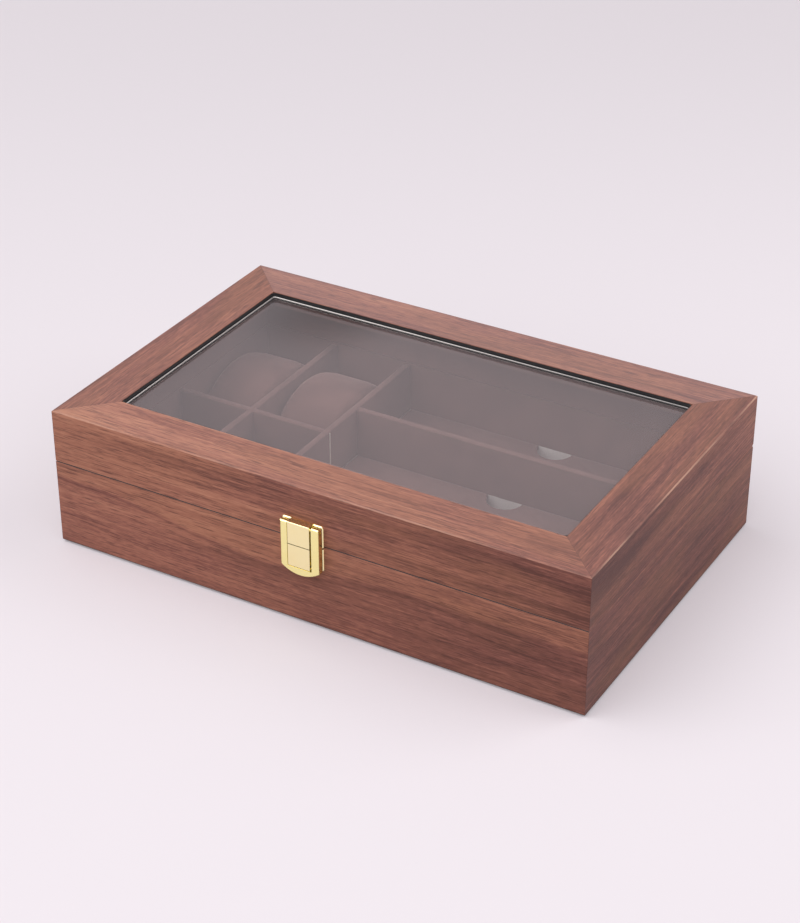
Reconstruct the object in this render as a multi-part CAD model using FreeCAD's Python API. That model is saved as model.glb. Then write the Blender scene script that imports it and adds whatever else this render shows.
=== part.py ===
import FreeCAD, Part
import math
import os
from FreeCAD import Vector

# A wooden watch and glasses box with a glazed, hinged lid and a flip latch. Millimetres.
# The origin is the middle of the underside. +X runs along the front, +Y points to the hinges, +Z is up.

# Box
BOX_WIDTH = 320.0
BOX_DEPTH = 204.0
BOX_HEIGHT = 83.0
SEAM_HEIGHT = 51.7
WALL = 10.0
EDGE_EASE = 0.6
SEAM_EASE = 0.35

# Underside
FELT_THICK = 1.0
FELT_INSET = 2.0
BOTTOM_THICK = 3.0
BOTTOM_RABBET = 5.0

# Lining and dividers
LINING_THICK = 2.0
RIM_DROP = 0.3
DIVIDER_THICK = 4.0
DIVIDER_DROP = 1.0
WATCH_BAY_WIDTH = 45.5
WATCH_FLOOR_THICK = 2.0
TONGUE_THICK = 1.2
FIT = 0.2
SLOT_FIT = 0.05

# Lift-out floors of the glasses bays
GLASSES_FLOOR_HEIGHT = 21.4
GLASSES_FLOOR_THICK = 3.0
FLOOR_PLAY = 0.6
FINGER_NOTCH_RADIUS = 10.5
FINGER_NOTCH_OFFSET = -3.0
BATTEN_WIDTH = 8.0
BATTEN_LENGTH = 40.0

# Cushions
CUSHION_SIDE_GAP = 2.0
STRAP_GAP = 8.0
CUSHION_RISE = 1.0
CUSHION_SHOULDER = 23.0
CUSHION_SIDE_RADIUS = 16.0
CUSHION_FOOT_RADIUS = 7.0
CUSHION_DRAW = 5.0
CUSHION_GAP = 0.3
CUSHION_SLICES = (-1.0, -0.92, -0.6, 0.6, 0.92, 1.0)

# Lid window
RAIL_WIDTH = 26.5
FLANGE_THICK = 3.3
GLASS_THICK = 2.0
GLASS_LAP = 8.0
GLASS_PLAY = 0.5
RETAINER_LEDGE = 4.0
RETAINER_SETBACK = 1.0
EDGING_THICK = 0.3
EDGING_DROP = 0.3
EDGING_TOE_THICK = 0.3
EDGING_TOE_CORNER = 1.0
BEAD_WIDTH = 1.0
BEAD_HEIGHT = 0.8
BEAD_BEVEL = 0.2
TOE_WIDTH = 0.3

# Hinges
LID_OPENING = 100.0
STOP_SLACK = 2.0
HINGE_INSET = 1.0
HINGE_END_DISTANCE = 65.0
HINGE_LENGTH = 30.0
KNUCKLE_COUNT = 3
KNUCKLE_RADIUS = 2.0
KNUCKLE_GAP = 0.2
BARREL_ROOM = 0.3
LEAF_THICK = 1.0
LEAF_GAP = 0.05
LEAF_REACH = 8.0
HINGE_PIN_RADIUS = 0.8
HINGE_BRAD_END = 5.0
HINGE_BRAD_LENGTH = 8.0

# Fits of the pins, and the brads that fix hinges and latch
PIN_RUN = 0.05
PIN_HOLD = 0.02
BRAD_RADIUS = 0.8
BRAD_FIT = 0.05

# Latch
LATCH_OFFSET = -2.0
LATCH_DROP = 0.9
LATCH_PLATE_THICK = 1.0
LATCH_PLATE_MARGIN = 0.8
LATCH_PLATE_CORNER = 1.5
LATCH_PLATE_BEVEL = 0.5
LATCH_PLATE_SPLIT = 1.0
BLOCK_SPLIT = 0.4
LID_BLOCK_REACH = 13.1
LID_PLATE_REACH = 13.0
KEEPER_BLOCK_REACH = 13.2
KEEPER_PLATE_REACH = 14.2
BLOCK_WIDTH = 13.2
BLOCK_OUT = 5.2
BLOCK_SKIN = 1.2
BLOCK_BEVEL = 0.2
RAIL_SLOT = 0.65
FLAP_RAIL_WIDTH = 4.3
FLAP_PROUD = 0.1
FLAP_CLEAR = 0.7
FLAP_CORNER_DROP = 0.4
FLAP_TONGUE_DROP = 4.2
FLAP_SIDE_GAP = 0.08
FLAP_INNER_CORNER = 0.3
FLAP_ROUND = 1.1
FLAP_HEEL_ROUND = 1.6
CATCH_GAP = 0.12
LATCH_PIN_RADIUS = 0.7
LATCH_PIN_DROP = 2.1
LATCH_PIN_INSET = 0.8
LATCH_BRAD_REACH = 7.0
LATCH_BRAD_COVER = 3.0

# Places that follow from the sizes above
SIDES = ("front", "back", "left", "right")
MARGIN = 1.0
TINY = 1e-6
BOTTOM_TOP = FELT_THICK + BOTTOM_THICK
WATCH_FLOOR_TOP = BOTTOM_TOP + WATCH_FLOOR_THICK
INNER_X = BOX_WIDTH / 2 - WALL
INNER_Y = BOX_DEPTH / 2 - WALL
BAY_X = INNER_X - LINING_THICK
BAY_Y = INNER_Y - LINING_THICK
DIVIDER_TOP = SEAM_HEIGHT - DIVIDER_DROP
COLUMN_X = -BAY_X + WATCH_BAY_WIDTH + DIVIDER_THICK / 2
LONG_LEFT = COLUMN_X + DIVIDER_THICK / 2 + WATCH_BAY_WIDTH
LONG_RIGHT = LONG_LEFT + DIVIDER_THICK
GLASSES_BAY_DEPTH = (2 * BAY_Y - 2 * DIVIDER_THICK) / 3
GLASSES_DIVIDER_Y = (GLASSES_BAY_DEPTH + DIVIDER_THICK) / 2
GLASSES_MIDDLE_X = (LONG_RIGHT + BAY_X) / 2
GLASSES_FLOOR_UNDER = GLASSES_FLOOR_HEIGHT - GLASSES_FLOOR_THICK
WATCH_BAY_DEPTH = BAY_Y - DIVIDER_THICK / 2
CUSHION_WIDTH = WATCH_BAY_WIDTH - 2 * CUSHION_SIDE_GAP
CUSHION_LENGTH = WATCH_BAY_DEPTH - 2 * STRAP_GAP
CUSHION_TOP = SEAM_HEIGHT + CUSHION_RISE
WINDOW_X = BOX_WIDTH / 2 - RAIL_WIDTH
WINDOW_Y = BOX_DEPTH / 2 - RAIL_WIDTH
GLASS_TOP = BOX_HEIGHT - FLANGE_THICK
GLASS_UNDER = GLASS_TOP - GLASS_THICK
RETAINER_UNDER = GLASS_UNDER - RETAINER_LEDGE
EDGING_REACH = EDGING_THICK + BEAD_WIDTH + TOE_WIDTH
AXIS_Y = BOX_DEPTH / 2 - HINGE_INSET
FACE_Y = -BOX_DEPTH / 2
HINGE_BRAD_SETBACK = (LEAF_REACH + KNUCKLE_RADIUS + BARREL_ROOM) / 2
FLAP_INNER = BLOCK_WIDTH / 2 + RAIL_SLOT
FLAP_HALF = FLAP_INNER + FLAP_RAIL_WIDTH
FLAP_SIDE_SHIFT = RAIL_SLOT - FLAP_SIDE_GAP
FLAP_TOP = SEAM_HEIGHT + LID_BLOCK_REACH
FLAP_BACK_OUT = LATCH_PLATE_THICK + FLAP_CLEAR
FLAP_FRONT_OUT = BLOCK_OUT + FLAP_PROUD
LATCH_PIN_HEIGHT = FLAP_TOP - LATCH_PIN_DROP
LATCH_PIN_OUT = (FLAP_BACK_OUT + FLAP_FRONT_OUT) / 2
LATCH_BRAD_X = FLAP_INNER + FLAP_RAIL_WIDTH / 2
LATCH_BRAD_LENGTH = LATCH_PLATE_THICK + WALL - LATCH_BRAD_COVER


def block(x_range, y_range, z_range):
    """A box between two values on each axis, given in either order."""
    low = Vector(min(x_range), min(y_range), min(z_range))
    size = Vector(max(x_range), max(y_range), max(z_range)) - low
    return Part.makeBox(size.x, size.y, size.z, low)


def prism(points, axis, start, end):
    """An outline of point pairs, square to an axis, pushed along it from start to end."""
    place = {
        "x": lambda a, b: Vector(start, a, b),
        "y": lambda a, b: Vector(a, start, b),
        "z": lambda a, b: Vector(a, b, start),
    }[axis]
    push = {"x": Vector(1, 0, 0), "y": Vector(0, 1, 0), "z": Vector(0, 0, 1)}[axis] * (end - start)
    corners = [place(a, b) for a, b in points]
    return Part.Face(Part.makePolygon(corners + corners[:1])).extrude(push)


def rod(axis, radius, start, length):
    """A round bar from a start point along an axis."""
    return Part.makeCylinder(radius, length, start, axis)


def brad(head, away, length, room):
    """A plain nail driven from its head, or with room the hole for it."""
    return rod(away, BRAD_RADIUS + room, head, length)


def one_solid(shape):
    """The single solid of a shape that was cut or joined."""
    clean = shape.removeSplitter()
    if len(clean.Solids) != 1:
        raise ValueError(f"expected one solid, found {len(clean.Solids)}")
    return clean.Solids[0]


def cut_all(shape, tools):
    """A solid less every tool."""
    for tool in tools:
        shape = shape.cut(tool)
    return one_solid(shape)


def edges_at(shape, height, along):
    """The edges at a height that run along an axis."""
    level = [edge for edge in shape.Edges if abs(edge.CenterOfMass.z - height) < TINY]
    across = {"x": Vector(1, 0, 0), "y": Vector(0, 1, 0)}[along]
    return [edge for edge in level if edge.tangentAt(edge.FirstParameter).cross(across).Length < TINY]


def mitred(profile, side, half_width, half_depth):
    """One side of a mitred frame. The profile pairs a depth inward from the outside with a height."""
    half_length = half_width if side in ("front", "back") else half_depth
    reach = max(depth for depth, height in profile)
    low = min(height for depth, height in profile)
    high = max(height for depth, height in profile)
    bar = prism(profile, "x", -half_length, half_length)
    ends = [(-half_length, 0), (half_length, 0), (half_length - reach, reach), (reach - half_length, reach)]
    piece = one_solid(bar.common(prism(ends, "z", low, high)))
    turn = {"front": 0, "right": 90, "back": 180, "left": 270}[side]
    piece.rotate(Vector(), Vector(0, 0, 1), turn)
    away = {"front": (0, -1), "right": (1, 0), "back": (0, 1), "left": (-1, 0)}[side]
    piece.translate(Vector(away[0] * half_width, away[1] * half_depth, 0))
    return piece


# Hinges: the barrel lies in the rear edge of the seam, and the bevels beside it stop the lid


def hinge_places():
    """The middle of each hinge along the box, by the side it is on."""
    middle = BOX_WIDTH / 2 - HINGE_END_DISTANCE
    return {"left": -middle, "right": middle}


def stop_bevel(up):
    """The wedge missing from the rear edge of the lid (up 1) or of the base (up -1)."""
    slope = math.tan(math.radians((LID_OPENING + STOP_SLACK) / 2))
    back = BOX_DEPTH / 2 + MARGIN
    corner = SEAM_HEIGHT + up * (back - AXIS_Y) * slope
    wedge = [(AXIS_Y, SEAM_HEIGHT), (back, SEAM_HEIGHT), (back, corner)]
    return prism(wedge, "x", -BOX_WIDTH / 2 - MARGIN, BOX_WIDTH / 2 + MARGIN)


def barrel(middle, radius, start, end):
    """A bar on the hinge axis, between two distances from the hinge's middle."""
    return rod(Vector(1, 0, 0), radius, Vector(middle + start, AXIS_Y, SEAM_HEIGHT), end - start)


def hinge_brads(middle, up, room=0.0):
    """The two brads of a leaf, flush with it. With room they are the holes for them."""
    spread = HINGE_LENGTH / 2 - HINGE_BRAD_END
    top = SEAM_HEIGHT + up * LEAF_GAP
    heads = [Vector(middle + side * spread, AXIS_Y - HINGE_BRAD_SETBACK, top) for side in (-1, 1)]
    return [brad(head, Vector(0, 0, up), HINGE_BRAD_LENGTH, room) for head in heads]


def hinge_seat(middle, up):
    """What the rear wall or rail loses for one leaf and its half of the barrel."""
    half = HINGE_LENGTH / 2 + FIT
    front = AXIS_Y - LEAF_REACH - FIT
    heights = (SEAM_HEIGHT, SEAM_HEIGHT + up * LEAF_THICK)
    pocket = block((middle - half, middle + half), (front, AXIS_Y), heights)
    return [pocket, barrel(middle, KNUCKLE_RADIUS + BARREL_ROOM, -half, half)]


def hinge_leaf(middle, up):
    """A leaf with its knuckles: the lid has the even ones, the base the odd ones at both ends."""
    half = HINGE_LENGTH / 2
    step = HINGE_LENGTH / KNUCKLE_COUNT
    heights = (SEAM_HEIGHT + up * LEAF_GAP, SEAM_HEIGHT + up * LEAF_THICK)
    leaf = block((middle - half, middle + half), (AXIS_Y - LEAF_REACH, AXIS_Y), heights)
    own = 1 if up > 0 else 0
    hold = PIN_RUN if up > 0 else PIN_HOLD
    for index in range(KNUCKLE_COUNT):
        start = -half + index * step
        if index % 2 == own:
            gap = KNUCKLE_GAP / 2
            leaf = leaf.fuse(barrel(middle, KNUCKLE_RADIUS, start + gap, start + step - gap))
        else:
            leaf = leaf.cut(barrel(middle, KNUCKLE_RADIUS + BARREL_ROOM, start, start + step))
    bore = barrel(middle, HINGE_PIN_RADIUS + hold, -half - MARGIN, half + MARGIN)
    return cut_all(leaf, [bore, *hinge_brads(middle, up, BRAD_FIT)])


# Latch: a plate and block on the lid, a keeper on the base and a flap that swings on a pin


def out_y(out):
    """The Y of a place so far out in front of the box."""
    return FACE_Y - out


def latch_brads(up, room=0.0):
    """The two brads of a latch plate, behind the flap's rails. With room they are the holes for them."""
    height = SEAM_HEIGHT + up * LATCH_BRAD_REACH
    heads = [Vector(side * LATCH_BRAD_X, out_y(LATCH_PLATE_THICK), height) for side in (-1, 1)]
    return [brad(head, Vector(0, 1, 0), LATCH_BRAD_LENGTH, room) for head in heads]


def front_rim(shape, out, near):
    """The edges of a front face that stands so far out, but for the edge at the seam."""
    rim = [edge for edge in shape.Edges if edge.BoundBox.YMax < out_y(out) + TINY]
    return [edge for edge in rim if abs(edge.CenterOfMass.z - near) > TINY]


def latch_half(up, plate_reach, block_reach, hollow):
    """The plate on one side of the seam with the hollow block that stands out from its middle."""
    plate_near = SEAM_HEIGHT + up * LATCH_PLATE_SPLIT / 2
    plate_far = SEAM_HEIGHT + up * plate_reach
    half = FLAP_HALF + LATCH_PLATE_MARGIN
    plate = block((-half, half), (FACE_Y, out_y(LATCH_PLATE_THICK)), (plate_near, plate_far))
    plate = plate.makeFillet(LATCH_PLATE_CORNER, edges_at(plate, plate_far, along="y"))
    plate = plate.makeChamfer(LATCH_PLATE_BEVEL, front_rim(plate, LATCH_PLATE_THICK, plate_near))
    near = SEAM_HEIGHT + up * BLOCK_SPLIT / 2
    nose_far = SEAM_HEIGHT + up * block_reach
    side = BLOCK_WIDTH / 2
    nose = block((-side, side), (FACE_Y, out_y(BLOCK_OUT)), (near, nose_far))
    nose = nose.makeChamfer(BLOCK_BEVEL, front_rim(nose, BLOCK_OUT, near))
    room = side - BLOCK_SKIN
    cavity_ys = (out_y(LATCH_PLATE_THICK), out_y(BLOCK_OUT - BLOCK_SKIN))
    cavity = block((-room, room), cavity_ys, (near, SEAM_HEIGHT + up * hollow))
    return cut_all(plate.fuse(nose), [cavity, *latch_brads(up, BRAD_FIT)])


def latch_bar(radius, half_length=FLAP_HALF + MARGIN):
    """A bar on the axis that the flap swings on, or with the usual length the tool that bores for it."""
    start = Vector(-half_length, out_y(LATCH_PIN_OUT), LATCH_PIN_HEIGHT)
    return rod(Vector(1, 0, 0), radius, start, 2 * half_length)


def latch_lid_plate():
    """The upper half, with the hole that holds the pin."""
    hollow = LATCH_PIN_HEIGHT - LATCH_PIN_RADIUS - BLOCK_SKIN - SEAM_HEIGHT
    half = latch_half(1, LID_PLATE_REACH, LID_BLOCK_REACH, hollow)
    return cut_all(half, [latch_bar(LATCH_PIN_RADIUS + PIN_HOLD)])


def latch_keeper():
    """The lower half, whose block the flap's tongue catches under."""
    return latch_half(-1, KEEPER_PLATE_REACH, KEEPER_BLOCK_REACH, KEEPER_BLOCK_REACH - BLOCK_SKIN)


def latch_flap():
    """A U of two round-edged rails joined by a curved tongue, which catches under the keeper's block."""
    half = FLAP_HALF
    inner = FLAP_INNER
    top = FLAP_TOP
    catch = SEAM_HEIGHT - KEEPER_BLOCK_REACH - CATCH_GAP
    corner = catch - FLAP_CORNER_DROP
    turn = FLAP_INNER_CORNER
    bow = turn * (1 - math.sqrt(0.5))
    front = out_y(FLAP_FRONT_OUT)
    back = out_y(FLAP_BACK_OUT)

    def at(x, z):
        return Vector(x + FLAP_SIDE_SHIFT, front, z)

    def is_inside(edge):
        return edge.BoundBox.ZMin > catch - TINY and abs(edge.CenterOfMass.x - FLAP_SIDE_SHIFT) < inner + TINY

    def line(*ends):
        return Part.LineSegment(*ends).toShape()

    def arc(*points):
        return Part.Arc(*points).toShape()

    outline = Part.Wire(
        [
            line(at(-half, top), at(-half, corner)),
            arc(at(-half, corner), at(0, corner - FLAP_TONGUE_DROP), at(half, corner)),
            line(at(half, corner), at(half, top)),
            line(at(half, top), at(inner, top)),
            line(at(inner, top), at(inner, catch + turn)),
            arc(at(inner, catch + turn), at(inner - bow, catch + bow), at(inner - turn, catch)),
            line(at(inner - turn, catch), at(turn - inner, catch)),
            arc(at(turn - inner, catch), at(bow - inner, catch + bow), at(-inner, catch + turn)),
            line(at(-inner, catch + turn), at(-inner, top)),
            line(at(-inner, top), at(-half, top)),
        ]
    )
    flap = Part.Face(outline).extrude(Vector(0, back - front, 0))
    heels = [edge for edge in edges_at(flap, top, along="x") if edge.BoundBox.YMin > back - TINY]
    flap = flap.makeFillet(FLAP_HEEL_ROUND, heels)
    front_edges = [edge for edge in flap.Edges if edge.BoundBox.YMax < front + TINY]
    flap = flap.makeFillet(FLAP_ROUND, [edge for edge in front_edges if not is_inside(edge)])
    return cut_all(flap, [latch_bar(LATCH_PIN_RADIUS + PIN_RUN)])


# Base


def base_wall(side):
    """A wall with a rabbet for the bottom panel, eased edges and, at the rear, the hinge seats."""
    under = FELT_THICK
    profile = [
        (EDGE_EASE, under),
        (WALL - BOTTOM_RABBET, under),
        (WALL - BOTTOM_RABBET, BOTTOM_TOP),
        (WALL, BOTTOM_TOP),
        (WALL, SEAM_HEIGHT),
        (SEAM_EASE, SEAM_HEIGHT),
        (0, SEAM_HEIGHT - SEAM_EASE),
        (0, under + EDGE_EASE),
    ]
    tools = []
    if side != "front":
        tools.append(stop_bevel(-1))
    if side == "back":
        for middle in hinge_places().values():
            tools += hinge_seat(middle, -1)
    return cut_all(mitred(profile, side, BOX_WIDTH / 2, BOX_DEPTH / 2), tools)


def bottom_panel():
    half_x = INNER_X + BOTTOM_RABBET - FIT
    half_y = INNER_Y + BOTTOM_RABBET - FIT
    return block((-half_x, half_x), (-half_y, half_y), (FELT_THICK, BOTTOM_TOP))


def bottom_felt():
    half_x = BOX_WIDTH / 2 - FELT_INSET
    half_y = BOX_DEPTH / 2 - FELT_INSET
    return block((-half_x, half_x), (-half_y, half_y), (0, FELT_THICK))


def lining(side, low, high):
    """A lining board: the front and back ones run from wall to wall, the others stand between them."""
    sign = 1 if side in ("back", "right") else -1
    if side in ("front", "back"):
        return block((-INNER_X, INNER_X), (sign * BAY_Y, sign * INNER_Y), (low, high))
    return block((sign * BAY_X, sign * INNER_X), (-BAY_Y, BAY_Y), (low, high))


def watch_floor_board():
    return block((-BAY_X, LONG_LEFT - FIT), (FIT - BAY_Y, BAY_Y - FIT), (BOTTOM_TOP, WATCH_FLOOR_TOP))


def tongue_low(foot):
    """The height where a divider's tongue, or a halving slot, ends."""
    return (foot + DIVIDER_TOP) / 2


def tongue(y, room=0.0):
    """The thin end of a cross divider that passes through the long divider's slot."""
    half = TONGUE_THICK / 2 + room
    return block((LONG_LEFT, LONG_RIGHT), (y - half, y + half), (tongue_low(BOTTOM_TOP) - room, DIVIDER_TOP))


def long_divider():
    body = block((LONG_LEFT, LONG_RIGHT), (FIT - BAY_Y, BAY_Y - FIT), (BOTTOM_TOP, DIVIDER_TOP))
    return cut_all(body, [tongue(y, SLOT_FIT) for y in (-GLASSES_DIVIDER_Y, 0, GLASSES_DIVIDER_Y)])


def cross_divider(y, x_range, foot):
    """A divider along the box whose tongue passes through the long divider."""
    body = block(x_range, (y - DIVIDER_THICK / 2, y + DIVIDER_THICK / 2), (foot, DIVIDER_TOP))
    return one_solid(body.fuse(tongue(y)))


def halving(x_half, y_half, z_range):
    """The slot where the two watch dividers cross."""
    return block((COLUMN_X - x_half, COLUMN_X + x_half), (-y_half, y_half), z_range)


def watch_row_divider():
    body = cross_divider(0, (FIT - BAY_X, LONG_LEFT), WATCH_FLOOR_TOP)
    slot = halving(DIVIDER_THICK / 2 + FIT, DIVIDER_THICK, (tongue_low(WATCH_FLOOR_TOP), DIVIDER_TOP))
    return cut_all(body, [slot])


def watch_column_divider():
    half = DIVIDER_THICK / 2
    heights = (WATCH_FLOOR_TOP, DIVIDER_TOP)
    body = block((COLUMN_X - half, COLUMN_X + half), (FIT - BAY_Y, BAY_Y - FIT), heights)
    return cut_all(body, [halving(DIVIDER_THICK, half + FIT, (WATCH_FLOOR_TOP, tongue_low(WATCH_FLOOR_TOP)))])


def glasses_bays():
    """The middle of each glasses bay from front to back."""
    pitch = GLASSES_BAY_DEPTH + DIVIDER_THICK
    return {"front": -pitch, "middle": 0.0, "rear": pitch}


def floor_battens():
    """A block under both ends of each glasses floor."""
    ends = ((LONG_RIGHT, LONG_RIGHT + BATTEN_WIDTH), (BAY_X - BATTEN_WIDTH, BAY_X))
    half = BATTEN_LENGTH / 2
    blocks = []
    for middle in glasses_bays().values():
        for end in ends:
            blocks.append(block(end, (middle - half, middle + half), (BOTTOM_TOP, GLASSES_FLOOR_UNDER)))
    return Part.makeCompound(blocks)


def glasses_floor(middle):
    """A lift-out floor with a half-moon finger notch in its rear edge."""
    half = GLASSES_BAY_DEPTH / 2 - FLOOR_PLAY
    heights = (GLASSES_FLOOR_UNDER, GLASSES_FLOOR_HEIGHT)
    board = block((LONG_RIGHT + FLOOR_PLAY, BAY_X - FLOOR_PLAY), (middle - half, middle + half), heights)
    centre = Vector(GLASSES_MIDDLE_X + FINGER_NOTCH_OFFSET, middle + half, GLASSES_FLOOR_UNDER - MARGIN)
    notch = rod(Vector(0, 0, 1), FINGER_NOTCH_RADIUS, centre, GLASSES_FLOOR_THICK + 2 * MARGIN)
    return cut_all(board, [notch])


# Cushions


def cushion_section(middle_x, middle_y, offset, scale):
    """A slice of a cushion, scaled about its middle: flat foot, upright sides and a three-centred crown."""
    half = CUSHION_LENGTH / 2
    low = WATCH_FLOOR_TOP + CUSHION_GAP
    middle_z = (low + CUSHION_TOP) / 2
    shoulder = CUSHION_TOP - CUSHION_SHOULDER
    side = CUSHION_SIDE_RADIUS
    foot = CUSHION_FOOT_RADIUS
    inset = half - side
    crown = (inset**2 + CUSHION_SHOULDER**2 - side**2) / (2 * (CUSHION_SHOULDER - side))
    tangent = math.atan2(crown - CUSHION_SHOULDER, inset)

    def at(y, z):
        return Vector(middle_x + offset, middle_y + scale * y, middle_z + scale * (z - middle_z))

    def corner(sign, centre_z, radius, angles):
        turns = [(half - radius + radius * math.cos(a), centre_z + radius * math.sin(a)) for a in angles]
        return [at(sign * y, z) for y, z in turns]

    right_foot = corner(1, low + foot, foot, (-math.pi / 2, -math.pi / 4, 0))
    right_side = corner(1, shoulder, side, (0, tangent / 2, tangent))
    left_side = corner(-1, shoulder, side, (tangent, tangent / 2, 0))
    left_foot = corner(-1, low + foot, foot, (0, -math.pi / 4, -math.pi / 2))
    edges = [
        Part.LineSegment(left_foot[2], right_foot[0]),
        Part.Arc(*right_foot),
        Part.LineSegment(right_foot[2], right_side[0]),
        Part.Arc(*right_side),
        Part.Arc(right_side[2], at(0, CUSHION_TOP), left_side[0]),
        Part.Arc(*left_side),
        Part.LineSegment(left_side[2], left_foot[0]),
        Part.Arc(*left_foot),
    ]
    return Part.Wire([edge.toShape() for edge in edges])


def cushion(middle_x, middle_y):
    """A stuffed block, full in the middle and drawn in towards both sewn ends."""
    sections = []
    for share in CUSHION_SLICES:
        draw = CUSHION_DRAW * (1 - math.sqrt(1 - share**2))
        scale = 1 - draw / (CUSHION_LENGTH / 2)
        sections.append(cushion_section(middle_x, middle_y, share * CUSHION_WIDTH / 2, scale))
    return Part.makeLoft(sections, True, True).Solids[0]


def watch_bays():
    """The middle of each watch bay, by its name."""
    columns = {"left": -BAY_X + WATCH_BAY_WIDTH / 2, "right": LONG_LEFT - WATCH_BAY_WIDTH / 2}
    rows = {"front": -(DIVIDER_THICK + WATCH_BAY_DEPTH) / 2, "rear": (DIVIDER_THICK + WATCH_BAY_DEPTH) / 2}
    return {f"{row}_{column}": (x, y) for row, y in rows.items() for column, x in columns.items()}


# Lid


def lid_rail(side):
    """A rail: an upright wall under a wide flange that covers the edge of the glass."""
    profile = [
        (SEAM_EASE, SEAM_HEIGHT),
        (WALL, SEAM_HEIGHT),
        (WALL, GLASS_TOP),
        (RAIL_WIDTH, GLASS_TOP),
        (RAIL_WIDTH, BOX_HEIGHT),
        (EDGE_EASE, BOX_HEIGHT),
        (0, BOX_HEIGHT - EDGE_EASE),
        (0, SEAM_HEIGHT + SEAM_EASE),
    ]
    tools = []
    if side != "front":
        tools.append(stop_bevel(1))
    if side == "back":
        for middle in hinge_places().values():
            tools += hinge_seat(middle, 1)
    return cut_all(mitred(profile, side, BOX_WIDTH / 2, BOX_DEPTH / 2), tools)


def glass_retainer(side):
    """A rabbeted batten that clamps the edge of the glass against the flange."""
    ledge = RAIL_WIDTH - WALL - RETAINER_SETBACK
    beside = RAIL_WIDTH - WALL - GLASS_LAP - GLASS_PLAY
    profile = [
        (0, RETAINER_UNDER),
        (ledge, RETAINER_UNDER),
        (ledge, GLASS_UNDER),
        (beside, GLASS_UNDER),
        (beside, GLASS_TOP),
        (0, GLASS_TOP),
    ]
    return mitred(profile, side, INNER_X, INNER_Y)


def glass_pane():
    half_x = WINDOW_X + GLASS_LAP
    half_y = WINDOW_Y + GLASS_LAP
    return block((-half_x, half_x), (-half_y, half_y), (GLASS_UNDER, GLASS_TOP))


def rounded_plate(inset, low, high):
    """The window's outline drawn in by an inset, with round corners, between two heights."""
    half_x = WINDOW_X - inset
    half_y = WINDOW_Y - inset
    plate = block((-half_x, half_x), (-half_y, half_y), (low, high))
    uprights = [edge for edge in plate.Edges if edge.BoundBox.ZLength > (high - low) / 2]
    return plate.makeFillet(EDGING_TOE_CORNER + EDGING_REACH - inset, uprights)


def ring(outer, inner, low, high):
    """A band that follows the window's edge between two insets."""
    return rounded_plate(outer, low, high).cut(rounded_plate(inner, low, high))


def window_edging():
    """An L strip bent round the window: a leg on the wood and a toe on the glass."""
    leg = ring(0, EDGING_THICK, GLASS_TOP, BOX_HEIGHT - EDGING_DROP)
    return one_solid(leg.fuse(ring(EDGING_THICK, EDGING_REACH, GLASS_TOP, GLASS_TOP + EDGING_TOE_THICK)))


def window_bead():
    """A strip with bevelled edges that lies on the edging's toe."""
    low = GLASS_TOP + EDGING_TOE_THICK
    high = low + BEAD_HEIGHT
    strip = one_solid(ring(EDGING_THICK, EDGING_THICK + BEAD_WIDTH, low, high))
    return strip.makeChamfer(BEAD_BEVEL, [edge for edge in strip.Edges if edge.BoundBox.ZMin > high - TINY])


# All the pieces by name


def pieces():
    latch = {
        "latch_lid_plate": latch_lid_plate(),
        "latch_keeper": latch_keeper(),
        "latch_pin": latch_bar(LATCH_PIN_RADIUS, FLAP_HALF - LATCH_PIN_INSET),
        "latch_flap": latch_flap(),
        "latch_lid_brads": Part.makeCompound(latch_brads(1)),
        "latch_keeper_brads": Part.makeCompound(latch_brads(-1)),
    }
    for shape in latch.values():
        shape.translate(Vector(LATCH_OFFSET, 0, -LATCH_DROP))
    made = {
        "bottom_panel": bottom_panel(),
        "bottom_felt": bottom_felt(),
        "watch_floor_board": watch_floor_board(),
        "long_divider": long_divider(),
        "watch_row_divider": watch_row_divider(),
        "watch_column_divider": watch_column_divider(),
        "floor_battens": floor_battens(),
        "glass_pane": glass_pane(),
        "window_edging": window_edging(),
        "window_bead": window_bead(),
        **latch,
    }
    for side in SIDES:
        made[f"base_{side}_wall"] = base_wall(side)
        made[f"lid_{side}_rail"] = lid_rail(side)
        made[f"base_lining_{side}"] = lining(side, BOTTOM_TOP, SEAM_HEIGHT - RIM_DROP)
        made[f"lid_lining_{side}"] = lining(side, SEAM_HEIGHT + RIM_DROP, RETAINER_UNDER)
        made[f"glass_retainer_{side}"] = glass_retainer(side)
    for name, y in (("front", -GLASSES_DIVIDER_Y), ("rear", GLASSES_DIVIDER_Y)):
        made[f"glasses_divider_{name}"] = cross_divider(y, (LONG_RIGHT, BAY_X - FIT), BOTTOM_TOP)
    for name, middle in glasses_bays().items():
        made[f"glasses_floor_{name}"] = glasses_floor(middle)
    for name, (x, y) in watch_bays().items():
        made[f"cushion_{name}"] = cushion(x, y)
    base_brads = []
    lid_brads = []
    for name, middle in hinge_places().items():
        made[f"hinge_base_leaf_{name}"] = hinge_leaf(middle, -1)
        made[f"hinge_lid_leaf_{name}"] = hinge_leaf(middle, 1)
        made[f"hinge_pin_{name}"] = barrel(middle, HINGE_PIN_RADIUS, -HINGE_LENGTH / 2, HINGE_LENGTH / 2)
        base_brads += hinge_brads(middle, -1)
        lid_brads += hinge_brads(middle, 1)
    made["hinge_base_brads"] = Part.makeCompound(base_brads)
    made["hinge_lid_brads"] = Part.makeCompound(lid_brads)
    return made


os.makedirs("parts", exist_ok=True)
for node, shape in pieces().items():
    shape.exportStep(f"parts/{node}.step")
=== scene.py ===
import math

import bpy
from mathutils import Matrix, Vector


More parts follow.
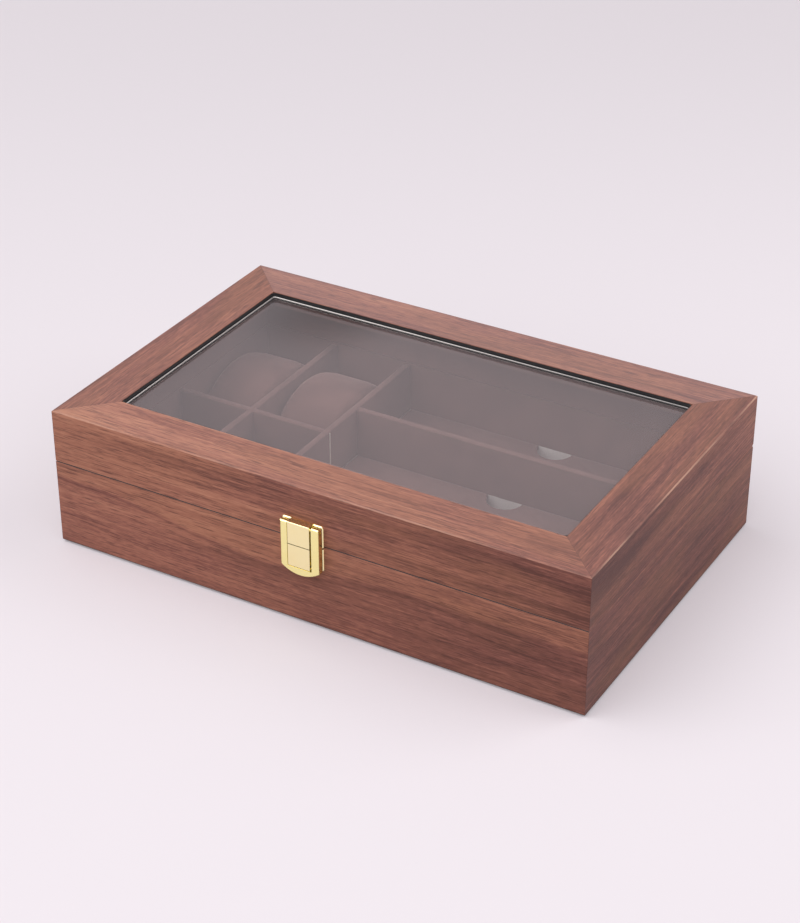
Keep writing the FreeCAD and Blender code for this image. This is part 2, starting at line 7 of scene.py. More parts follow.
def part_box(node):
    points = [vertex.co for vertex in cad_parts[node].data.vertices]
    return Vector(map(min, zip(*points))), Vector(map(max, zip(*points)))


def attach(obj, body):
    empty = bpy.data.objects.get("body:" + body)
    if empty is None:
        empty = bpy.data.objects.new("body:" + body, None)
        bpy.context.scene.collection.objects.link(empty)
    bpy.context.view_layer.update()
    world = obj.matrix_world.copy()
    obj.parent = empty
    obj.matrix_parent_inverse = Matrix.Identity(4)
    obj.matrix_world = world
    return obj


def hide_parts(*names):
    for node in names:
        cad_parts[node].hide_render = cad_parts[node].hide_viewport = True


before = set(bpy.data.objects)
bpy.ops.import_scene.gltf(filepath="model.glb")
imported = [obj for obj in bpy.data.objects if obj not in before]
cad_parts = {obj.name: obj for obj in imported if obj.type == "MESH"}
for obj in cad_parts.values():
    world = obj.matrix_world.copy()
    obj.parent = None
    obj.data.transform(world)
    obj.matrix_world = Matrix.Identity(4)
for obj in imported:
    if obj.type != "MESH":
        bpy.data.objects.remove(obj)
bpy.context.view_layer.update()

MM = 0.001
QUARTER = math.pi / 2

# The box's own sizes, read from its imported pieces
LID_LOW, LID_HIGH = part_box("lid_front_rail")
BASE_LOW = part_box("base_front_wall")[0]
FLOOR_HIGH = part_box("glasses_floor_middle")[1]
LONG_LOW, LONG_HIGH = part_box("long_divider")
GLASS_LOW, GLASS_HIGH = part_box("glass_pane")
BEAD_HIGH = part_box("window_bead")[1]
HALF_WIDTH = LID_HIGH.x
HALF_DEPTH = -BASE_LOW.y
SEAM = LID_LOW.z
TOP = LID_HIGH.z

# The camera's place: the picture is 800 by 923 pixels
PICTURE_WIDTH = 800
FOCAL_PIXELS = 2282.1
CAMERA_TARGET = Vector((-41.7, 65.0, 0.0)) * MM
CAMERA_TURN = math.radians(30.06)
CAMERA_LIFT = math.radians(30.96)
CAMERA_DISTANCE = 1333.5 * MM
SENSOR_WIDTH = 36.0

# Stuffed cushions
CUSHIONS = ("front_left", "front_right", "rear_left", "rear_right")
CUSHION_WELD = 0.01 * MM
CUSHION_SHRINK = 0.95
CUSHION_VOXEL = 2.2 * MM
CUSHION_PRESSURE = 4.0
CUSHION_FRAMES = 20
CUSHION_SWELL_CAP = 2.0 * MM
CUSHION_SMOOTHING = 4
SEAM_INSET = 2.6 * MM
SEAM_DEPTH = 0.7 * MM
SEAM_WIDTH = 0.9 * MM
PUCKER_DEPTH = 0.25 * MM
PUCKER_LENGTH = 3.5 * MM
PUCKERS = 34
PUCKER_SWAY = 1.7
PUCKER_SWAYS = 5

# Velvet-wrapped boards
WRAP_ROUND = 0.8 * MM
WRAP_STEPS = 3
SMOOTH_ANGLE = math.radians(40)
CROSSING_DROP = 0.2 * MM
TONGUE_HALF = 0.5 * MM
TONGUE_PROUD = 0.2 * MM
NOTCH_RADIUS = 10.5 * MM
NOTCH_OFFSET = -3.0 * MM
NOTCH_CUT = 50 * MM
NOTCH_SIDES = 96
NAP_EDGE = 0.6 * MM

# Walnut's patterns: how long they are along, across and up a board, and their step from the board's seed
FLOW = dict(size=(0.12, 0.03, 0.03), step=0.0)
WANDER = dict(size=(0.03, 0.012, 0.012), step=3.0)
BANDS = dict(size=(0.24, 0.006, 0.006), step=7.0, detail=3.0, roughness=0.6)
STREAKS = dict(size=(0.034, 0.0007, 0.0007), step=11.0, roughness=0.6)
PORES = dict(size=(0.012, 0.0005, 0.0005), step=17.0, detail=1.0)
CLOUD = dict(size=(0.05, 0.03, 0.03), step=23.0, detail=1.0)
WARMTH = dict(size=(0.09, 0.018, 0.018), step=29.0, detail=1.0)
SPECKS = dict(size=(0.004, 0.0009, 0.0009), step=31.0, detail=1.0)

# Walnut's growth lines
FLOW_DRIFT = 30 * MM
WANDER_DRIFT = 6 * MM
LINE_STEP = 11.0 * MM
LINE_LEAN = 0.7
LINE_STARTS = 0.72
LINE_DARKEST = 0.97
LINE_SHOWS = (-0.15, 0.2)

# What each pattern gives to walnut's tone and colour
BAND_SHARE = 0.5
STREAK_SHARE = 0.56
SPECK_SHARE = 0.24
CLOUD_SHARE = 0.12
LINE_SHARE = 0.09
TONE_DROP = 0.21
PORE_EDGE = (0.55, 0.66)
PORE_SHARE = 0.62
WARM_EDGE = (0.4, 0.65)
WARM_SHARE = 0.22
STREAK_RELIEF = 0.35

# A lighter, warmer part of a board, with a wavy dark line below it, and a dark band along another board
SHORE_SPAN = 110 * MM
SHORE_CLIMB = 13 * MM
SHORE_BLUR = 4 * MM
SHORE_LIGHT = 0.08
SHORE_CALM = 0.22
SHORE_LINE_DROP = 1 * MM
SHORE_LINE_HALF = 2 * MM
SHORE_LINE_BREAKS = (0.3, 0.6)
SHORE_LINE_DARK = 0.14
SHORE_OLD_WARM = 0.5
SHORE_WARM = 0.8
STAIN_HALF = 5 * MM
STAIN_BREAKS = (0.35, 0.6)
STAIN_DARK = 0.09

# Lines at walnut's edges: between which two values each fades, and how strong it is. The seam line is painted
# shade, the foot line painted contact shade, and the worn edges partly a painted highlight.
MITRE_FADE = (0.12 * MM, 0.35 * MM)
MITRE_SHARE = 0.4
EASED_FADE = (0.15, 0.2)
WORN_HIGHLIGHT_ABOVE_SEAM = 10 * MM
WORN_HIGHLIGHT_BREAKS = (0.3, 0.55)
SEAM_SHADE_FADE = (0.5 * MM, 1.0 * MM)
FOOT_SHADE_FADE = (0.6 * MM, 1.1 * MM)
FOOT_SHADE_SHARE = 0.9

# Walnut's colours. The first two stops are the ends of the ramp.
WALNUT_STOPS = (
    (0.22, (0.100, 0.036, 0.028)),
    (0.78, (0.50, 0.228, 0.148)),
    (0.40, (0.205, 0.076, 0.057)),
    (0.52, (0.315, 0.125, 0.086)),
)
WALNUT_WARM = (0.36, 0.158, 0.078)
WALNUT_PORE = (0.080, 0.030, 0.025)
WALNUT_GREY_TINT = (0.5, 0.5, 0.55)
WALNUT_MITRE = (0.07, 0.028, 0.022)
# The worn edge colour is partly a painted highlight; the seam and foot colours are painted shade
WALNUT_WORN_HIGHLIGHT = (0.56, 0.32, 0.23)
WALNUT_SEAM_SHADE = (0.035, 0.012, 0.010)
WALNUT_FOOT_SHADE = (0.02, 0.012, 0.010)

# The boards: grain, growth lines, tones of the upright and the level faces (partly the board's own tone,
# partly painted light and shade), grey tint and edges
BOARDS = {
    "base_front_wall": dict(
        turn=0.0, seed=1.3, bow=0.45, peak=-0.03, upright=(-0.072, -0.5), seam_shade=1.0, shore=27 * MM
    ),
    "base_back_wall": dict(turn=0.0, seed=4.1, bow=-0.30, peak=0.04),
    "base_left_wall": dict(turn=QUARTER, seed=7.7, bow=0.60, peak=0.02),
    "base_right_wall": dict(
        turn=QUARTER, seed=9.2, bow=-0.50, peak=-0.03, upright=(-0.158, -0.2), grey=(0.02, 0), seam_shade=0.0
    ),
    "lid_front_rail": dict(
        turn=0.0, seed=2.6, bow=-0.25, peak=0.05, upright=(-0.044, -0.87), level=(0.024, -0.55), seam_shade=1.0,
        stain=75 * MM,
    ),
    "lid_back_rail": dict(turn=0.0, seed=5.9, bow=0.30, peak=-0.05, level=(-0.03, 0.0), grey=(0, 0.07)),
    "lid_left_rail": dict(turn=QUARTER, seed=6.4, bow=0.40, peak=0.03, level=(-0.075, 0.0)),
    "lid_right_rail": dict(
        turn=QUARTER, seed=8.8, bow=-0.45, peak=0.02, upright=(-0.14, -1.25), level=(-0.124, 0.13),
        grey=(0.02, 0), seam_shade=0.0, wear_and_highlight=0.7,
    ),
}

# Velvet and bare board
NAP_SHARE = 0.55
NAP_RELIEF = 0.4
VELVET_DARK = (0.078, 0.034, 0.029)
VELVET_LIGHT = (0.140, 0.068, 0.058)
BARE_FADE = 0.2 * MM
SPECK_LENGTH = 1.2 * MM

# The pane and the strips round it
MIRROR_LEAST = 0.04
DUST_SHARE = 0.07
# the dust is thinner towards the rear left: painted shade where the reflection is weaker
DUST_AT_WEAK_REFLECTION = 0.025
WEAK_REFLECTION_PLACE = (-95 * MM, 70 * MM)
WEAK_REFLECTION_FADE = (5 * MM, 55 * MM)
BLACK_DARK = (0.008, 0.008, 0.009)
BLACK_LIGHT = (0.02, 0.02, 0.022)
FOIL_FADE = (0.45 * MM, 0.55 * MM)
# painted shade on the silver foil, darker towards the right
FOIL_SHADE_SPAN = (-130 * MM, 160 * MM)
FOIL_BRIGHT = (0.50, 0.475, 0.455)
FOIL_SHADED = (0.25, 0.24, 0.235)

# Gold: a deep and a light tint of each kind
PLATE_TINTS = ((1.0, 0.86, 0.45), (1.0, 0.90, 0.53))
FLAP_TINTS = ((1.0, 0.885, 0.37), (1.0, 0.925, 0.45))
HAZE_ROUGH = 0.06

# Studio
FLOOR_SIZE = 12.0
# The floor's painted light, seen from the camera: a weak glow near the box that lightens its shadows, and a
# darker glow far away as a painted falloff
PAINTED_LIGHT_FADE = (0.5, 1.9)
PAINTED_LIGHT_NEAR_SHARE = 0.2
PAINTED_LIGHT_NEAR = (0.88, 0.81, 0.855)
PAINTED_LIGHT_FAR = (0.755, 0.68, 0.74)
WORLD_LIGHT = (0.30, 0.295, 0.30)
WORLD_SEEN = (0.86, 0.79, 0.83)
LAMPS = {
    "key": dict(place=(-0.5, -0.95, 1.7), size=3.0, power=54.0),
    "fill": dict(place=(0.95, 0.5, 1.0), size=1.0, power=7.5),
}


class Socket:
    """A node's output. Arithmetic on it adds Math nodes to the same material."""

    def __init__(self, source):
        self.source = source

    def node(self, kind, inputs=None, output=0, stops=(), **settings):
        """A new node of a kind: its settings first, then what its sockets hold. Gives one of its outputs."""
        tree = self.source.id_data
        made = tree.nodes.new("ShaderNode" + kind)
        for name, setting in settings.items():
            setattr(made, name, setting)
        for index, (place, colour) in enumerate(stops):
            elements = made.color_ramp.elements
            stop = elements[index] if index < 2 else elements.new(place)
            stop.position = place
            stop.color = (*colour, 1.0)
        for key, value in (inputs or {}).items():
            if isinstance(value, Socket):
                tree.links.new(value.source, made.inputs[key])
            else:
                made.inputs[key].default_value = value
        return Socket(made.outputs[output])

    def math(self, operation, *values):
        return self.node("Math", dict(enumerate(values)), operation=operation)

    def __add__(self, other):
        return self.math("ADD", self, other)

    def __sub__(self, other):
        return self.math("SUBTRACT", self, other)

    def __rsub__(self, other):
        return self.math("SUBTRACT", other, self)

    def __mul__(self, other):
        return self.math("MULTIPLY", self, other)

    def __truediv__(self, other):
        return self.math("DIVIDE", self, other)

    def __pow__(self, other):
        return self.math("POWER", self, other)

    def __abs__(self):
        return self.math("ABSOLUTE", self)

    __radd__ = __add__
    __rmul__ = __mul__

    def rise(self, low, high):
        """0 below one value and 1 above the other, smooth between them."""
        return self.node("MapRange", {0: self, 1: low, 2: high}, interpolation_type="SMOOTHSTEP")

    def between(self, low, high):
        """One value where this mask is 0, another where it is 1."""
        return self * (high - low) + low

    def blend(self, under, over):
        """One colour where this mask is 0, another where it is 1."""
        colours = {0: self, 6: solid(under), 7: solid(over)}
        return self.node("Mix", colours, output=2, data_type="RGBA")

    def parts(self):
        """The three numbers of a vector."""
        split = self.node("SeparateXYZ", {0: self}).source.node
        return [Socket(output) for output in split.outputs]

    def noise(self, size, seed=0.0, detail=2.0, roughness=0.5, distortion=0.0):
        """Clouds whose patches are about so long, in metres, on each axis."""
        scale = [1 / length for length in size]
        place = self.node("Mapping", {"Vector": self, "Scale": scale})
        inputs = {
            "Vector": place,
            "W": seed,
            "Scale": 1.0,
            "Detail": detail,
            "Roughness": roughness,
            "Distortion": distortion,
        }
        return self.node("TexNoise", inputs, noise_dimensions="4D")


def solid(colour):
    """A colour as a socket takes it."""
    return colour if isinstance(colour, Socket) else (*colour, 1.0)


def reach(x, y):
    """How far a place is from the middle, as seen from above."""
    return (x**2 + y**2) ** 0.5


def new_material(name):
    """A material and the Object coordinates that its patterns start from."""
    material = bpy.data.materials.new(name)
    material.use_nodes = True
    material.node_tree.nodes.clear()
    coordinates = material.node_tree.nodes.new("ShaderNodeTexCoord")
    return material, Socket(coordinates.outputs["Object"])


def show(material, shader):
    """Puts a shader on the material's surface."""
    tree = material.node_tree
    tree.links.new(shader.source, tree.nodes.new("ShaderNodeOutputMaterial").inputs["Surface"])
    return material


def bumped(height, distance, strength):
    """A normal from a height that runs from 0 to 1, so many metres deep."""
    return height.node("Bump", {"Height": height, "Distance": distance, "Strength": strength})


# Finishes


def pattern(board, seed, size, step, **look):
    """One of walnut's patterns on a board."""
    return board.noise(size, seed + step, **look)


def light_and_tone_along(along, tone):
    """A tone that changes along a board, partly painted light and shade: its value in the middle, and how
    much it gains in a metre.
    """
    middle, gain = tone
    return along * gain + middle


def walnut(
    name,
    turn,
    seed,
    bow,
    peak,
    upright=(0, 0),
    level=(0, 0),
    grey=(0, 0),
    seam_shade=0.5,
    wear_and_highlight=0.3,
    shore=None,
    stain=None,
):
    """Satin walnut veneer, its grain along the board and its growth lines bowed about a place on the board.

    Its upright and its level faces have a tone of their own, partly the board's own tone and partly painted
    light and shade: how much lighter, and how much more so along it.
    Each of the two may be tinted greyer.
    """
    material, place = new_material(name)
    board = place.node("Mapping", {"Vector": place, "Rotation": (0, 0, turn)})
    along, across, height = board.parts()
    slope = abs(place.node("TexCoord", output="Normal").parts()[2])
    bands = pattern(board, seed, **BANDS)
    streaks = pattern(board, seed, **STREAKS)
    specks = pattern(board, seed, **SPECKS)
    cloud = pattern(board, seed, **CLOUD)
    pores = pattern(board, seed, **PORES).rise(*PORE_EDGE)
    warm = pattern(board, seed, **WARMTH).rise(*WARM_EDGE)
    flow = pattern(board, seed, **FLOW) - 0.5
    wander = pattern(board, seed, **WANDER) - 0.5
    drift = flow * FLOW_DRIFT + wander * WANDER_DRIFT
    ring = (height + across * LINE_LEAN + (along - peak) ** 2 * bow + drift) / LINE_STEP
    late = ring.math("FRACT", ring)
    line = late.rise(LINE_STARTS, LINE_DARKEST) * (1 - late.rise(LINE_DARKEST, 1.0)) * flow.rise(*LINE_SHOWS)
    tone = bands * BAND_SHARE + streaks * STREAK_SHARE + specks * SPECK_SHARE + cloud * CLOUD_SHARE
    tone = tone - TONE_DROP - line * LINE_SHARE
    # tone offsets of the upright and the level faces: partly the board's own tone, partly painted light and
    # shade
    tone = tone + light_and_tone_along(along, upright) * (1 - slope) + light_and_tone_along(along, level) * slope
    if shore is not None:
        edge = height - shore - abs(along - peak).rise(0.0, SHORE_SPAN) * SHORE_CLIMB + drift
        above = edge.rise(0.0, SHORE_BLUR)
        dark = 1 - abs(edge + SHORE_LINE_DROP).rise(0.0, SHORE_LINE_HALF)
        tone = tone + above * SHORE_LIGHT - (streaks - 0.5) * (1 - above) * SHORE_CALM
        tone = tone - dark * streaks.rise(*SHORE_LINE_BREAKS) * SHORE_LINE_DARK
        warm = warm * SHORE_OLD_WARM + above * SHORE_WARM
    if stain is not None:
        dark = 1 - abs(height - stain + drift).rise(0.0, STAIN_HALF)
        tone = tone - dark * bands.rise(*STAIN_BREAKS) * (1 - slope) * STAIN_DARK
    colour = tone.node("ValToRGB", {0: tone}, stops=WALNUT_STOPS)
    colour = (warm * WARM_SHARE).blend(colour, WALNUT_WARM)
    colour = (pores * PORE_SHARE).blend(colour, WALNUT_PORE)
    # a grey tint on the upright or the level faces, as set per board
    colour = slope.between(*grey).blend(colour, WALNUT_GREY_TINT)
    inputs = {
        "Base Color": edged(colour, place, slope, cloud, seam_shade, wear_and_highlight),
        "Roughness": streaks.between(0.46, 0.60),
        "Specular IOR Level": 0.2,
        "Coat Weight": slope.between(0.0, 0.55),
        "Coat Roughness": 0.4,
        "Normal": bumped(streaks * STREAK_RELIEF - pores, 0.12 * MM, 0.5),
    }
    return show(material, place.node("BsdfPrincipled", inputs))


def edged(colour, place, slope, cloud, seam_shade, wear_and_highlight):
    """Walnut's colour with its mitre lines, upper edges worn and partly painted as a highlight, painted shade
    in the seam and painted contact shade at the foot.
    """
    x, y, z = [abs(part) for part in place.parts()]
    mitre = 1 - abs(x - y - (HALF_WIDTH - HALF_DEPTH)).rise(*MITRE_FADE)
    colour = (mitre * MITRE_SHARE).blend(colour, WALNUT_MITRE)
    eased = (slope * (1 - slope)).rise(*EASED_FADE)
    # worn upper edges, partly a painted highlight along the eased edge
    worn_highlight = eased * z.rise(SEAM + WORN_HIGHLIGHT_ABOVE_SEAM, TOP) * cloud.rise(*WORN_HIGHLIGHT_BREAKS)
    colour = (worn_highlight * wear_and_highlight).blend(colour, WALNUT_WORN_HIGHLIGHT)
    # painted shade in the groove of the seam between lid and base
    gap = eased * (1 - abs(z - SEAM).rise(*SEAM_SHADE_FADE))
    colour = (gap * seam_shade).blend(colour, WALNUT_SEAM_SHADE)
    # painted contact shade along the foot, also standing in for the felt's dark edge
    foot = 1 - (z - BASE_LOW.z).rise(*FOOT_SHADE_FADE)
    return (foot * FOOT_SHADE_SHARE).blend(colour, WALNUT_FOOT_SHADE)


def velvet(name, bare_below=None):
    """Short brown pile, brushed unevenly. In the glasses bays its board is bare below a height."""
    material, place = new_material(name)
    nap = place.noise((0.03, 0.022, 0.026), 1.0, distortion=0.6)
    fibre = place.noise((0.0005, 0.0005, 0.0006), 5.0)
    tone = nap * NAP_SHARE + fibre * (1 - NAP_SHARE)
    colour = tone.rise(0.25, 0.75).blend(VELVET_DARK, VELVET_LIGHT)
    if bare_below is not None:
        x, _, z = place.parts()
        bare = 1 - z.rise(bare_below - BARE_FADE, bare_below + BARE_FADE)
        bare = bare * x.rise(LONG_LOW.x, LONG_HIGH.x)
        specks = place.noise([SPECK_LENGTH] * 3, 9.0)
        colour = bare.blend(colour, specks.blend((0.52, 0.48, 0.46), (0.76, 0.72, 0.70)))
    inputs = {
        "Base Color": colour,
        "Roughness": 0.92,
        "Sheen Weight": 0.35,
        "Sheen Roughness": 0.45,
        "Sheen Tint": (0.80, 0.60, 0.56, 1.0),
        "Normal": bumped(fibre + nap * NAP_RELIEF, 0.25 * MM, 0.35),
    }
    return show(material, place.node("BsdfPrincipled", inputs))


def felt(name):
    """Black felt under the box."""
    material, place = new_material(name)
    fibre = place.noise((0.0009, 0.0009, 0.0009), 2.0, detail=3.0)
    inputs = {
        "Base Color": fibre.blend((0.012, 0.011, 0.012), (0.045, 0.042, 0.043)),
        "Roughness": 0.97,
        "Normal": bumped(fibre, 0.3 * MM, 0.7),
    }
    return show(material, place.node("BsdfPrincipled", inputs))


def pale_board(name):
    """Bare fibreboard of the bottom, the battens and the tongues."""
    material, place = new_material(name)
    specks = place.noise([SPECK_LENGTH] * 3, 9.0, detail=3.0)
    inputs = {
        "Base Color": specks.blend((0.46, 0.40, 0.34), (0.66, 0.60, 0.53)),
        "Roughness": 0.85,
        "Normal": bumped(specks, 0.15 * MM, 0.5),
    }
    return show(material, place.node("BsdfPrincipled", inputs))


def window_glass(name):
    """A clear pane that mirrors on its upper face, with thin dust that is thinner towards the rear left, a
    painted shade where the reflection is weaker.
    """
    material, place = new_material(name)
    x, y, z = place.parts()
    smear = place.noise((0.05, 0.04, 0.05), 4.0, detail=3.0)
    facing = place.node("LayerWeight", {"Blend": 0.5}, output="Facing")
    share = (facing**5).between(MIRROR_LEAST, 1.0) * z.rise(GLASS_LOW.z, GLASS_HIGH.z)
    # painted shade: less dust towards the rear left, where the reflection is weaker
    weak_reflection = 1 - reach(x - WEAK_REFLECTION_PLACE[0], y - WEAK_REFLECTION_PLACE[1]).rise(*WEAK_REFLECTION_FADE)
    mirror = place.node("BsdfGlossy", {"Color": (1, 1, 1, 1), "Roughness": smear.between(0.02, 0.05)})
    clear = place.node("BsdfTransparent", {"Color": (0.99, 0.985, 0.985, 1)})
    dust = place.node("BsdfDiffuse", {"Color": (0.83, 0.70, 0.73, 1)})
    dusty = place.node("MixShader", {0: weak_reflection.between(DUST_SHARE, DUST_AT_WEAK_REFLECTION), 1: clear, 2: dust})
    return show(material, place.node("MixShader", {0: share, 1: dusty, 2: mirror}))


def strip(name, foiled=False):
    """Drawn black plastic. A foiled strip is silver on its half by the glass, with painted shade that darkens
    it towards the right.
    """
    material, place = new_material(name)
    lines = place.noise((0.004, 0.004, 0.0005), 3.0)
    inputs = {
        "Base Color": lines.blend(BLACK_DARK, BLACK_LIGHT),
        "Roughness": lines.between(0.35, 0.45),
        "Normal": bumped(lines, 0.03 * MM, 0.4),
    }
    if foiled:
        x, y, _ = place.parts()
        inward = x.math("MINIMUM", BEAD_HIGH.x - abs(x), BEAD_HIGH.y - abs(y))
        foil = inward.rise(*FOIL_FADE)
        # painted shade: the silver darkens towards the right
        silver = x.rise(*FOIL_SHADE_SPAN).blend(FOIL_BRIGHT, FOIL_SHADED)
        inputs["Base Color"] = foil.blend(inputs["Base Color"], silver)
        inputs["Metallic"] = foil
    return show(material, place.node("BsdfPrincipled", inputs))


def gold(name, deep, light):
    """Polished gold plate with hairline scratches, between two tints."""
    material, place = new_material(name)
    hairs = place.noise((0.0003, 0.0003, 0.006), 6.0)
    haze = place.noise((0.006, 0.006, 0.008), 8.0)
    inputs = {
        "Base Color": haze.blend(deep, light),
        "Metallic": 1.0,
        "Roughness": hairs.between(0.12, 0.20) + haze * HAZE_ROUGH,
        "Normal": bumped(hairs, 0.01 * MM, 0.35),
    }
    return show(material, place.node("BsdfPrincipled", inputs))


def dress(material, *nodes):
    """Gives CAD pieces a finish in place of the plain one that they came with."""
    for node in nodes:
        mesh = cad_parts[node].data
        mesh.materials.clear()
        mesh.materials.append(material)


def named(*starts):
    """The CAD pieces whose names start so."""
    return [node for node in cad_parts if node.startswith(starts)]


# Pieces made by hand


def deselect():
    bpy.ops.object.select_all(action="DESELECT")


def take(piece):
    """Makes a piece the one that operators act on."""
    deselect()
    piece.select_set(True)
    bpy.context.view_layer.objects.active = piece


def apply_modifiers(piece):
    take(piece)
    for modifier in list(piece.modifiers):
        bpy.ops.object.modifier_apply(modifier=modifier.name)


def board_block(name, low, high):
    """A cube drawn to a box, with its place in its mesh."""
    deselect()
    bpy.ops.mesh.primitive_cube_add(size=1, location=(low + high) / 2)
    block = bpy.context.object
    block.name = name
    block.scale = high - low
    bpy.ops.object.transform_apply(location=True, rotation=True, scale=True)
    return block


def finish_piece(piece, body, slot, material, *nodes):
    """Hands a piece its finish, its body and the CAD nodes that it stands for."""
    piece.data.materials.clear()
    piece.data.materials.append(material)
    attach(piece, body)
    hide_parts(*nodes)


def soften(piece, width):
    """Rounds every hard edge of a wrapped board."""
    bevel = piece.modifiers.new("wrap", "BEVEL")
    bevel.width = width
    bevel.segments = WRAP_STEPS
    bevel.limit_method = "ANGLE"
    apply_modifiers(piece)
    bpy.ops.object.shade_smooth_by_angle(angle=SMOOTH_ANGLE)


def divider(node, material, start=None, stop=None):
    """A board wrapped in velvet, with rounded edges. It may start or stop at another board's face."""
    low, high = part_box(node)
    if start is not None:
        low.x = start
    if stop is not None:
        high.x = stop
        high.z -= CROSSING_DROP
    board = board_block(node + "_wrapped", low, high)
    soften(board, WRAP_ROUND)
    finish_piece(board, "base", "velvet", material, node)


def tongue_end(node, face, material):
    """The pale end of a divider's tongue, where it comes through the long divider's velvet."""
    low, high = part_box(node)
    middle = (low + high) / 2
    low = Vector((face - TONGUE_PROUD, middle.y - TONGUE_HALF, middle.z))
    high = Vector((face + TONGUE_PROUD, middle.y + TONGUE_HALF, high.z - WRAP_ROUND))
    end = board_block(node + "_tongue_end", low, high)
    soften(end, TONGUE_PROUD / 2)
    end.data.materials.append(material)
    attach(end, "base")


def lift_out_floor(row, material):
    """A wrapped floor with its half-moon finger notch."""
    node = "glasses_floor_" + row
    low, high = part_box(node)
    board = board_block(node + "_wrapped", low, high)
    middle = (low + high) / 2
    place = (middle.x + NOTCH_OFFSET, high.y, middle.z)
    deselect()
    bpy.ops.mesh.primitive_cylinder_add(
        vertices=NOTCH_SIDES, radius=NOTCH_RADIUS, depth=NOTCH_CUT, location=place
    )
    cutter = bpy.context.object
    notch = board.modifiers.new("notch", "BOOLEAN")
    notch.object = cutter
    notch.solver = "EXACT"
    apply_modifiers(board)
    bpy.data.objects.remove(cutter)
    soften(board, WRAP_ROUND / 2)
    finish_piece(board, node, "velvet", material, node)


def cushion(place, material):
    """A stuffed velvet block, blown up as cloth, with a puckered seam round both ends."""
    node = "cushion_" + place
    low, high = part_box(node)
    middle = (low + high) / 2
    piece = bpy.data.objects.new(node + "_stuffed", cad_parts[node].data.copy())
    bpy.context.scene.collection.objects.link(piece)
    take(piece)
    bpy.ops.object.mode_set(mode="EDIT")
    bpy.ops.mesh.select_all(action="SELECT")
    bpy.ops.mesh.remove_doubles(threshold=CUSHION_WELD)
    bpy.ops.object.mode_set(mode="OBJECT")
    shrink = Matrix.Translation(middle) @ Matrix.Scale(CUSHION_SHRINK, 4) @ Matrix.Translation(-middle)
    piece.data.transform(shrink)
    remesh = piece.modifiers.new("cells", "REMESH")
    remesh.mode = "VOXEL"
    remesh.voxel_size = CUSHION_VOXEL
    apply_modifiers(piece)
    blow_up(piece)
    smooth = piece.modifiers.new("ease", "SMOOTH")
    smooth.iterations = CUSHION_SMOOTHING
    subdivide = piece.modifiers.new("fine", "SUBSURF")
    subdivide.levels = 1
    subdivide.render_levels = 1
    apply_modifiers(piece)
    sew_ends(piece, middle, (high.x - low.x) / 2)
    bpy.ops.object.shade_smooth()
    finish_piece(piece, node, "cushion_velvet", material, node)


def blow_up(piece):
    """Swells a shape as cloth under pressure, and keeps each point near where it began."""
    scene = bpy.context.scene
    start = [vertex.co.copy() for vertex in piece.data.vertices]
    cloth = piece.modifiers.new("cloth", "CLOTH")
    cloth.settings.use_pressure = True
    cloth.settings.uniform_pressure_force = CUSHION_PRESSURE
    cloth.settings.effector_weights.gravity = 0.0
    for number in range(1, CUSHION_FRAMES + 1):
        scene.frame_set(number)
    apply_modifiers(piece)
    scene.frame_set(1)
    for vertex, began in zip(piece.data.vertices, start):
        moved = vertex.co - began
        if moved.length > CUSHION_SWELL_CAP:
            vertex.co = began + moved * (CUSHION_SWELL_CAP / moved.length)


def sew_ends(piece, middle, half):
    """Draws in the seam near both ends, with puckers running from it."""
    for vertex in piece.data.vertices:
        out = vertex.co - middle
        spread = Vector((0, out.y, out.z))
        gap = abs(out.x) - (half - SEAM_INSET)
        angle = math.atan2(out.z, out.y)
        pull = SEAM_DEPTH * math.exp(-((gap / SEAM_WIDTH) ** 2))
        wave = 0.5 + 0.5 * math.sin(PUCKERS * angle + PUCKER_SWAY * math.sin(PUCKER_SWAYS * angle))
        pull += PUCKER_DEPTH * wave * math.exp(-((gap / PUCKER_LENGTH) ** 2))
        if spread.length > 0:
            vertex.co -= spread.normalized() * min(pull, spread.length)


# Studio


def looked_at(socket):
    """1 for what is seen straight on, in a mirror or through glass, and 0 for what only lights the rest."""
    rays = ("Is Camera Ray", "Is Glossy Ray", "Is Transmission Ray")
    return sum(socket.node("LightPath", output=ray) for ray in rays).rise(0.0, 1.0)


def studio_floor():
    """A plain pale table top, far larger than the picture, that stays pale far from the lamps. Seen from the
    camera it has painted light: a weak glow near the box that lightens its shadows, fading to a darker glow
    far away as a painted falloff.
    """
    material, place = new_material("studio_floor")
    x, y, _ = place.parts()
    far = reach(x, y).rise(*PAINTED_LIGHT_FADE)
    inputs = {"Base Color": (0.760, 0.708, 0.748, 1), "Roughness": 0.85, "Specular IOR Level": 0.2}
    lit = place.node("BsdfPrincipled", inputs)
    # painted light: a glow, lighter near the box and darker far away
    pale = place.node("Emission", {"Color": far.blend(PAINTED_LIGHT_NEAR, PAINTED_LIGHT_FAR)})
    share = far.between(PAINTED_LIGHT_NEAR_SHARE, 1.0) * looked_at(place)
    show(material, place.node("MixShader", {0: share, 1: lit, 2: pale}))
    deselect()
    bpy.ops.mesh.primitive_plane_add(size=FLOOR_SIZE)
    floor = bpy.context.object
    floor.name = "studio_floor"
    floor.data.materials.append(material)


def studio_light():
    """An even pale surround, a large soft lamp at the left of the front and a weak one at the right rear."""
    world = bpy.data.worlds.new("studio")
    bpy.context.scene.world = world
    world.use_nodes = True
    background = world.node_tree.nodes["Background"]
    seen = looked_at(Socket(background.outputs[0]))
    colour = seen.blend(WORLD_LIGHT, WORLD_SEEN)
    world.node_tree.links.new(colour.source, background.inputs["Color"])
    for name, settings in LAMPS.items():
        lamp(name, **settings)


def lamp(name, place, size, power):
    """A square soft lamp that faces the box."""
    deselect()
    bpy.ops.object.light_add(type="AREA", location=place)
    light = bpy.context.object
    light.name = name
    light.data.shape = "SQUARE"
    light.data.size = size
    light.data.energy = power
    light.rotation_euler = (-Vector(place)).to_track_quat("-Z", "Y").to_euler()


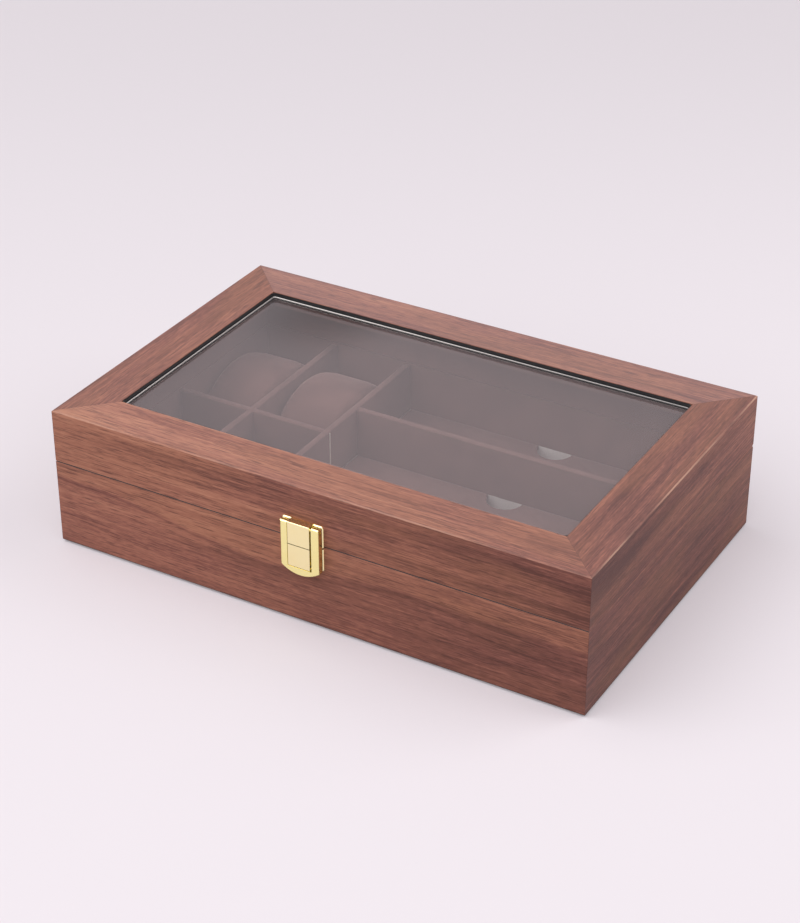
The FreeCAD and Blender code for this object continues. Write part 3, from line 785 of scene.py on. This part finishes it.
def camera():
    """The camera stands to the right of the box's front and looks down at it."""
    data = bpy.data.cameras.new("camera")
    eye = bpy.data.objects.new("camera", data)
    bpy.context.scene.collection.objects.link(eye)
    look = Vector(
        (
            -math.sin(CAMERA_TURN) * math.cos(CAMERA_LIFT),
            math.cos(CAMERA_TURN) * math.cos(CAMERA_LIFT),
            -math.sin(CAMERA_LIFT),
        )
    )
    eye.location = CAMERA_TARGET - look * CAMERA_DISTANCE
    eye.rotation_euler = look.to_track_quat("-Z", "Y").to_euler()
    data.sensor_fit = "HORIZONTAL"
    data.sensor_width = SENSOR_WIDTH
    data.lens = FOCAL_PIXELS * SENSOR_WIDTH / PICTURE_WIDTH
    bpy.context.scene.camera = eye


# The CAD pieces get their finishes
for node, board in BOARDS.items():
    dress(walnut("walnut_" + node, **board), node)
lining_velvet = velvet("lining_velvet")
divider_velvet = velvet("divider_velvet", bare_below=FLOOR_HIGH.z - NAP_EDGE)
cushion_velvet = velvet("cushion_velvet")
bare_board = pale_board("bare_board")
dress(lining_velvet, *named("base_lining", "lid_lining", "glass_retainer", "watch_floor_board"))
dress(divider_velvet, "base_lining_back")
dress(bare_board, "bottom_panel", "floor_battens")
dress(felt("bottom_felt"), "bottom_felt")
dress(window_glass("window_glass"), "glass_pane")
dress(strip("black_strip"), "window_edging")
dress(strip("silver_strip", foiled=True), "window_bead")
dress(gold("gold_plate", *PLATE_TINTS), *named("latch_", "hinge_"))
dress(gold("gold_flap", *FLAP_TINTS), "latch_flap")

# The soft and wrapped pieces take the place of their solids
divider("long_divider", divider_velvet)
divider("watch_column_divider", lining_velvet)
divider("watch_row_divider", lining_velvet, stop=LONG_LOW.x)
divider("glasses_divider_front", divider_velvet, start=LONG_HIGH.x)
divider("glasses_divider_rear", divider_velvet, start=LONG_HIGH.x)
tongue_end("watch_row_divider", LONG_HIGH.x, bare_board)
tongue_end("glasses_divider_front", LONG_LOW.x, bare_board)
tongue_end("glasses_divider_rear", LONG_LOW.x, bare_board)
for row in ("front", "middle", "rear"):
    lift_out_floor(row, lining_velvet)
for place in CUSHIONS:
    cushion(place, cushion_velvet)

# The studio
studio_floor()
studio_light()
camera()
bpy.context.scene.view_settings.view_transform = "Standard"

deselect()
